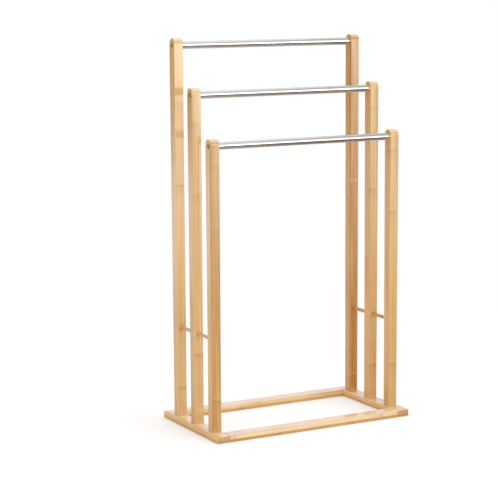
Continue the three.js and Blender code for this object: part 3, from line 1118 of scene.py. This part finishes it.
def bar_bore(side, row, lo, hi):
    """The profile of a post's bore for its bar and screw, from the inner face outwards."""
    bar_half = measures(f"{row}_bar")[1]
    screw_lo, screw_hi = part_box(f"{row}_bar_{side}_screw")
    width = hi.x - lo.x
    socket = bar_half.y + CLEARANCE
    shank = SHANK_DIAMETER / 2 + CLEARANCE
    head = (screw_hi.y - screw_lo.y) / 2 + HEAD_HOLE_MARGIN
    inner = min(abs(lo.x), abs(hi.x))
    seat = max(abs(screw_lo.x), abs(screw_hi.x)) - HEAD_HEIGHT - HEAD_CLEARANCE - inner
    return [
        (0, -OVERCUT),
        (socket + BORE_RIM + OVERCUT, -OVERCUT),
        (socket, BORE_RIM),
        (socket, BAR_SOCKET_DEPTH),
        (shank, BAR_SOCKET_DEPTH),
        (shank, seat),
        (head, seat),
        (head, width - BORE_RIM),
        (head + BORE_RIM + OVERCUT, width + OVERCUT),
        (0, width + OVERCUT),
    ]


def build_post(side, row):
    """A post with its bar socket, screw counterbore, spacer sockets and the hole for its insert."""
    node = f"{side}_{row}_post"
    lo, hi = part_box(node)
    post = (lo + hi) / 2
    bm = bmesh.new()
    add_post_body(bm, lo, hi, bpy.context.scene.rack_shape.post_round)
    piece = new_object(f"bamboo_post_{side}_{row}", mesh_from(bm, node))

    way = SIDES[side]
    inner = way * min(abs(lo.x), abs(hi.x))
    bar = measures(f"{row}_bar")[0]
    tools = bmesh.new()
    mouth = Vector((inner, post.y, bar.z))
    add_turned(tools, bar_bore(side, row, lo, hi), HOLE_SIDES, mouth, X_AXIS * way)
    for end in ENDS:
        rod_node = f"{side}_{end}_spacer_dowel"
        rod_lo, rod_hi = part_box(rod_node)
        if rod_lo.y < hi.y and rod_hi.y > lo.y:
            rod, rod_half = measures(rod_node)
            behind = rod.y > post.y
            face = Vector((rod.x, hi.y if behind else lo.y, rod.z))
            hole = plain_hole(rod_half.x + CLEARANCE, -SPACER_SOCKET_DEPTH, OVERCUT)
            add_turned(tools, hole, HOLE_SIDES, face, Y_AXIS if behind else -Y_AXIS)
    insert_half = measures(f"{node}_insert")[1]
    hole = plain_hole(insert_half.x + CLEARANCE, -OVERCUT, 2 * insert_half.z + CLEARANCE)
    add_turned(tools, hole, HOLE_SIDES, Vector((post.x, post.y, lo.z)), Z_AXIS)
    cut_away(piece, mesh_from(tools, "holes"))
    smooth(piece)
    grain_marks(piece, POST_SEEDS[side, row], POST_TONES[side, row], X_AXIS, Y_AXIS, Z_AXIS)
    settle(piece, post_bamboo(), "bamboo_post", node)


def build_spacer(side, end):
    """A round rod between two posts, with its ends broken."""
    node = f"{side}_{end}_spacer_dowel"
    half = measures(node)[1]
    profile = chamfered(half.x, half.y, DOWEL_CHAMFER)
    piece = turned_piece(f"spacer_rod_{side}_{end}", node, profile, DOWEL_SIDES, Y_AXIS)
    grain_marks(piece, SPACER_SEEDS[side, end], SPACER_TONES[side], X_AXIS, Z_AXIS, Y_AXIS)
    settle(piece, round_bamboo(), "spacer_dowel", node)


def build_bar(row):
    """A steel tube with its ends broken inside and out."""
    node = f"{row}_bar"
    half = measures(node)[1]
    inner = half.z - BAR_WALL
    rim = bpy.context.scene.rack_shape.bar_round
    corners = (
        (half.z - rim, half.x - rim, 0),
        (inner + rim, half.x - rim, 90),
        (inner + rim, rim - half.x, 180),
        (half.z - rim, rim - half.x, 270),
    )
    profile = []
    for radius, height, start in corners:
        for step in range(RIM_STEPS + 1):
            angle = math.radians(start + 90 * step / RIM_STEPS)
            profile.append((radius + rim * math.cos(angle), height + rim * math.sin(angle)))
    piece = turned_piece(f"steel_bar_{row}", node, profile, BAR_SIDES, X_AXIS)
    settle(piece, polished_steel(), "polished_bar", node)


def recess_cutter():
    """A cross that narrows downwards, centred on the top of a screw's head."""
    bm = bmesh.new()
    slot = RECESS_WIDTH / 2
    rings = []
    for height, share in ((RECESS_DEPTH, 2 - RECESS_TAPER), (-RECESS_DEPTH, RECESS_TAPER)):
        arm = share * RECESS_LENGTH / 2
        ring = []
        for quarter in range(4):
            turn = Matrix.Rotation(quarter * math.pi / 2, 3, "Z")
            for x, y in ((arm, -slot), (arm, slot), (slot, slot)):
                ring.append(bm.verts.new(turn @ Vector((x, y, height))))
        rings.append(ring)
        bm.faces.new(ring)
    join_loops(bm, *rings)
    bmesh.ops.translate(bm, verts=bm.verts, vec=Z_AXIS * HEAD_HEIGHT)
    return mesh_from(bm, "recess")


def build_screws(label, nodes):
    """Pan-head screws of one length. nodes maps each piece's last name to its node and its head's way."""
    lo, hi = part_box(nodes["left_rear"][0])
    _, width, overall = sorted((hi - lo)[:])
    length = overall - HEAD_HEIGHT
    head = width / 2
    shank = SHANK_DIAMETER / 2
    dome = HEAD_HEIGHT - HEAD_RIM
    profile = [(0, -length), (shank - TIP_CHAMFER, -length)]
    profile += thread_profile(shank, TIP_CHAMFER - length, -TIP_CHAMFER)
    profile += [(shank, 0), (head - HEAD_BREAK, 0), (head, HEAD_BREAK), (head, HEAD_RIM)]
    for step in range(1, DOME_STEPS):
        angle = math.pi / 2 * step / DOME_STEPS
        profile.append((head * math.cos(angle), HEAD_RIM + dome * math.sin(angle)))
    profile.append((0, HEAD_HEIGHT))
    bm = bmesh.new()
    add_turned(bm, profile, SCREW_SIDES, Vector(), Z_AXIS)
    pattern = new_object(label, mesh_from(bm, label))
    cut_away(pattern, recess_cutter())
    smooth(pattern)
    for last, (node, way) in nodes.items():
        middle, half = measures(node)
        seat = middle + way * (max(half[:]) - HEAD_HEIGHT)
        mesh = pattern.data.copy()
        mesh.transform(Matrix.Translation(seat) @ Z_AXIS.rotation_difference(way).to_matrix().to_4x4())
        settle(new_object(f"{label}_{last}", mesh), shaded_zinc(), "zinc_fastener", node)
    bpy.data.objects.remove(pattern)


def build_plug(side, row):
    """A plug with a plain bore, pressed into the end of a bar."""
    node = f"{row}_bar_{side}_plug"
    half = measures(node)[1]
    profile = chamfered(half.z, half.x, PLUG_CHAMFER, SHANK_DIAMETER / 2 + CLEARANCE)
    piece = turned_piece(f"bar_plug_{side}_{row}", node, profile, DOWEL_SIDES, X_AXIS)
    settle(piece, shaded_zinc(), "bar_plug", node)


def build_insert(side, row):
    """A brass insert with rings outside that grip the foot of its post."""
    node = f"{side}_{row}_post_insert"
    half = measures(node)[1]
    bore = SHANK_DIAMETER / 2 + CLEARANCE
    rings = thread_profile(half.x, INSERT_CHAMFER - half.z, half.z - INSERT_CHAMFER)
    end = half.x - INSERT_CHAMFER
    profile = [(bore, -half.z), (end, -half.z), *rings, (end, half.z), (bore, half.z)]
    piece = turned_piece(f"brass_insert_{side}_{row}", node, profile, DOWEL_SIDES, Z_AXIS)
    settle(piece, brass(), "threaded_insert", node)


def fluted(radius, angle):
    """The radius of a fluted dowel at an angle."""
    return radius - FLUTE_DEPTH * (1 + math.cos(FLUTE_COUNT * angle)) / 2


def build_corner_dowel(node):
    """A fluted glue dowel between a side rail and a cross rail."""
    half = measures(node)[1]
    profile = chamfered(half.y, half.x, DOWEL_CHAMFER)
    piece = turned_piece(f"glued_{node}", node, profile, FLUTE_SIDES * FLUTE_COUNT, X_AXIS, fluted)
    settle(piece, beech(), "corner_dowel", node)


# ---------------------------------------------------------------- studio


def add_area_light(name, power, size, place, aim):
    """A large soft lamp that lights the set but shows neither in reflections nor to the camera."""
    lamp = bpy.data.lights.new(name, "AREA")
    lamp.energy = power
    lamp.shape = "RECTANGLE"
    lamp.size, lamp.size_y = size
    holder = new_object(name, lamp)
    holder.visible_glossy = False
    holder.visible_camera = False
    holder.location = place
    holder.rotation_euler = (Vector(aim) - Vector(place)).to_track_quat("-Z", "Y").to_euler()


def build_floor(studio):
    """A round pale floor that fades into the white air. Reflections see it painted darker, as a painted dark
    reflection.
    """
    bm = bmesh.new()
    bmesh.ops.create_circle(bm, cap_ends=True, segments=FLOOR_SIDES, radius=FLOOR_RADIUS)
    mesh = bpy.data.meshes.new("studio_floor")
    bm.to_mesh(mesh)
    bm.free()
    floor = new_object("studio_floor", mesh)
    floor.location.z = FLOOR_DROP
    material, graph, shader = new_material("Studio floor")
    place = graph.coordinates("Object")
    across, deep, _ = graph.split(place)
    tone = graph.noise(place, FLOOR_TONE_SCALE, detail=3.0)
    paler = tuple(min(1.0, part * FLOOR_VARIATION) for part in studio.floor_colour)
    seen = graph.mix(tone, opaque(studio.floor_colour), opaque(paler))
    # Painted reflection: to reflections only, the floor shows these darker colours instead of its own.
    rightward = graph.ramp(across, REFLECTION_SPLIT)
    front = graph.mix(rightward, opaque(studio.left_floor_reflection), opaque(studio.right_floor_reflection))
    mirrored = graph.mix(graph.ramp(deep, REFLECTION_BACK), front, opaque(studio.back_floor_reflection))
    glossy = graph.node("ShaderNodeLightPath").outputs["Is Glossy Ray"]
    graph.feed(shader["Base Color"], graph.mix(glossy, seen, mirrored))
    fade = tuple(share * FLOOR_RADIUS for share in FLOOR_FADE)
    graph.feed(shader["Alpha"], graph.fall(graph.vector("LENGTH", place), fade))
    shader["Roughness"].default_value = 0.9
    shader["Specular IOR Level"].default_value = 0.1
    graph.feed(shader["Emission Color"], graph.mix(glossy, WHITE, BLACK))
    shader["Emission Strength"].default_value = studio.floor_glow
    mesh.materials.append(material)


def front_light(graph, across, up, studio):
    """What reflections see in front: a glare at the horizon, a wall above it, and a dark boom high up."""
    far = graph.times(graph.ramp(up, GLARE_FAR_FOOT), GLARE_FAR_LIGHT)
    near = graph.times(graph.ramp(up, GLARE_NEAR_FOOT), GLARE_NEAR_LIGHT)
    glare = graph.times(graph.total(far, near), graph.fall(up, GLARE_TOP), studio.glare)
    wall = graph.times(graph.ramp(up, WALL_FOOT), graph.ramp(up, WALL_FADE, WALL_LIGHT))
    panel = graph.times(graph.ramp(across, PANEL_EDGE, PANEL_LIGHT), graph.total(glare, wall))
    boom = graph.times(graph.band(up, BOOM_FOOT, BOOM_TOP), graph.ramp(across, BOOM_EDGE, BOOM_LIGHT))
    return graph.total(panel, boom, FRONT_DIM)


def back_light(graph, across, up):
    """What reflections see behind: a low sweep, a pale space above it, the zenith and a dark rim."""
    sweep = graph.times(graph.band(up, SWEEP_FOOT, SWEEP_TOP), graph.ramp(across, SWEEP_EDGE, SWEEP_LIGHT))
    above = graph.times(graph.ramp(up, ABOVE_FOOT), graph.ramp(up, ABOVE_FADE, ABOVE_LIGHT))
    zenith = graph.times(graph.ramp(up, ZENITH_FOOT), ZENITH_LIGHT)
    rim = graph.times(graph.ramp(across, RIM_EDGE), graph.band(up, RIM_FOOT, RIM_TOP), RIM_LIGHT)
    return graph.total(BACK_DIM, sweep, above, zenith, rim)


def build_air(scene, studio):
    """White air with soft light from all round. Reflections see bright and dim panels in it."""
    world = bpy.data.worlds.new("Studio air")
    world.use_nodes = True
    graph = Graph(world.node_tree)
    sky = world.node_tree.nodes["Background"].inputs
    across, deep, up = graph.split(graph.coordinates("Generated"))
    ahead = graph.fall(deep, AHEAD_EDGE)
    behind = graph.inverse(ahead)
    front = graph.times(ahead, front_light(graph, across, up, studio))
    back = graph.times(behind, back_light(graph, across, up))
    rays = graph.node("ShaderNodeLightPath").outputs
    glossy = rays["Is Glossy Ray"]
    change = graph.math("SUBTRACT", graph.total(front, back), studio.ambient)
    light = graph.total(studio.ambient, graph.times(glossy, change))
    low = graph.times(glossy, ahead, graph.fall(up, GLARE_TINT_TOP))
    cool = graph.times(glossy, behind, graph.band(up, ABOVE_FOOT, ABOVE_FADE))
    air = graph.mix(low, WHITE, opaque(studio.glare_colour))
    graph.feed(sky["Color"], graph.mix(cool, air, opaque(studio.back_colour)))
    graph.feed(sky["Strength"], graph.math("MAXIMUM", light, rays["Is Camera Ray"]))
    world.cycles.sampling_method = "NONE"
    scene.world = world


def build_camera(scene, studio):
    lens = bpy.data.cameras.new("camera")
    lens.lens = studio.lens
    lens.sensor_width = SENSOR_WIDTH
    camera = new_object("camera", lens)
    flat = math.cos(CAMERA_PITCH)
    ahead = Vector((math.sin(CAMERA_YAW) * flat, math.cos(CAMERA_YAW) * flat, math.sin(CAMERA_PITCH)))
    level = Vector((math.cos(CAMERA_YAW), -math.sin(CAMERA_YAW), 0.0))
    upward = level.cross(ahead)
    right = level * math.cos(CAMERA_ROLL) + upward * math.sin(CAMERA_ROLL)
    up = upward * math.cos(CAMERA_ROLL) - level * math.sin(CAMERA_ROLL)
    turn = Matrix((right, up, -ahead)).transposed().to_4x4()
    camera.matrix_world = Matrix.Translation(CAMERA_PLACE) @ turn
    scene.camera = camera


# ---------------------------------------------------------------- operators


class RACK_OT_rails(bpy.types.Operator):
    """Builds the two side rails and the two cross rails of the base"""

    bl_idname = "towel_rack.rails"
    bl_label = "Build rails"

    def execute(self, context):
        for side in SIDES:
            build_side_rail(side)
        for end in ENDS:
            build_cross_rail(end)
        return {"FINISHED"}


class RACK_OT_posts(bpy.types.Operator):
    """Builds the six posts with their holes and sockets"""

    bl_idname = "towel_rack.posts"
    bl_label = "Build posts"

    def execute(self, context):
        for side in SIDES:
            for row in ROWS:
                build_post(side, row)
        return {"FINISHED"}


class RACK_OT_spacers(bpy.types.Operator):
    """Builds the four round rods between neighbouring posts"""

    bl_idname = "towel_rack.spacers"
    bl_label = "Build spacer rods"

    def execute(self, context):
        for side in SIDES:
            for end in ENDS:
                build_spacer(side, end)
        return {"FINISHED"}


class RACK_OT_bars(bpy.types.Operator):
    """Builds the three steel bars"""

    bl_idname = "towel_rack.bars"
    bl_label = "Build bars"

    def execute(self, context):
        for row in ROWS:
            build_bar(row)
        return {"FINISHED"}


class RACK_OT_screws(bpy.types.Operator):
    """Builds the screws at the ends of the bars and under the posts"""

    bl_idname = "towel_rack.screws"
    bl_label = "Build screws"

    def execute(self, context):
        bar_nodes = {}
        foot_nodes = {}
        for side, way in SIDES.items():
            for row in ROWS:
                bar_nodes[f"{side}_{row}"] = (f"{row}_bar_{side}_screw", X_AXIS * way)
                foot_nodes[f"{side}_{row}"] = (f"{side}_{row}_post_screw", -Z_AXIS)
        build_screws("bar_screw", bar_nodes)
        build_screws("foot_screw", foot_nodes)
        return {"FINISHED"}


class RACK_OT_hidden_joints(bpy.types.Operator):
    """Builds the pieces inside the joints: bar plugs, threaded inserts and corner dowels"""

    bl_idname = "towel_rack.hidden_joints"
    bl_label = "Build hidden joints"

    def execute(self, context):
        for side in SIDES:
            for row in ROWS:
                build_plug(side, row)
                build_insert(side, row)
        for node in sorted(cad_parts):
            if "corner_dowel" in node:
                build_corner_dowel(node)
        return {"FINISHED"}


class RACK_OT_studio(bpy.types.Operator):
    """Builds the pale floor, the white air, the soft lights and the camera"""

    bl_idname = "towel_rack.studio"
    bl_label = "Build studio"

    def execute(self, context):
        scene = context.scene
        studio = scene.rack_studio
        build_floor(studio)
        build_air(scene, studio)
        add_area_light("key_light", studio.key, (2.0, 1.6), place=(1.5, -2.4, 1.9), aim=(0.0, 0.0, 0.45))
        add_area_light("top_light", studio.top, (3.0, 3.0), place=(0.0, 0.4, 3.2), aim=(0.0, 0.0, 0.0))
        build_camera(scene, studio)
        scene.view_settings.view_transform = "Standard"
        return {"FINISHED"}


class RACK_PT_panel(bpy.types.Panel):
    """Lists the rack's settings and the buttons that build its pieces"""

    bl_idname = "RACK_PT_panel"
    bl_label = "Towel rack"
    bl_space_type = "VIEW_3D"
    bl_region_type = "UI"
    bl_category = "Towel rack"

    def draw(self, context):
        layout = self.layout
        for settings in SETTINGS:
            holder = getattr(context.scene, settings)
            box = layout.box()
            for field in holder.__annotations__:
                box.prop(holder, field)
        for operator in OPERATORS:
            layout.operator(operator.bl_idname)


SETTINGS = {
    "rack_shape": RackShape,
    "rack_bamboo": BambooFinish,
    "rack_metal": MetalFinish,
    "rack_studio": StudioSettings,
}
OPERATORS = (
    RACK_OT_rails,
    RACK_OT_posts,
    RACK_OT_spacers,
    RACK_OT_bars,
    RACK_OT_screws,
    RACK_OT_hidden_joints,
    RACK_OT_studio,
)
CLASSES = (*SETTINGS.values(), *OPERATORS, RACK_PT_panel)


def register():
    for each in CLASSES:
        bpy.utils.register_class(each)
    for name, settings in SETTINGS.items():
        setattr(bpy.types.Scene, name, bpy.props.PointerProperty(type=settings))


def unregister():
    for name in SETTINGS:
        delattr(bpy.types.Scene, name)
    for each in reversed(CLASSES):
        bpy.utils.unregister_class(each)


def main():
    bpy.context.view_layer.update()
    register()
    bpy.ops.towel_rack.rails()
    bpy.ops.towel_rack.posts()
    bpy.ops.towel_rack.spacers()
    bpy.ops.towel_rack.bars()
    bpy.ops.towel_rack.screws()
    bpy.ops.towel_rack.hidden_joints()
    bpy.ops.towel_rack.studio()


if __name__ == "__main__":
    main()
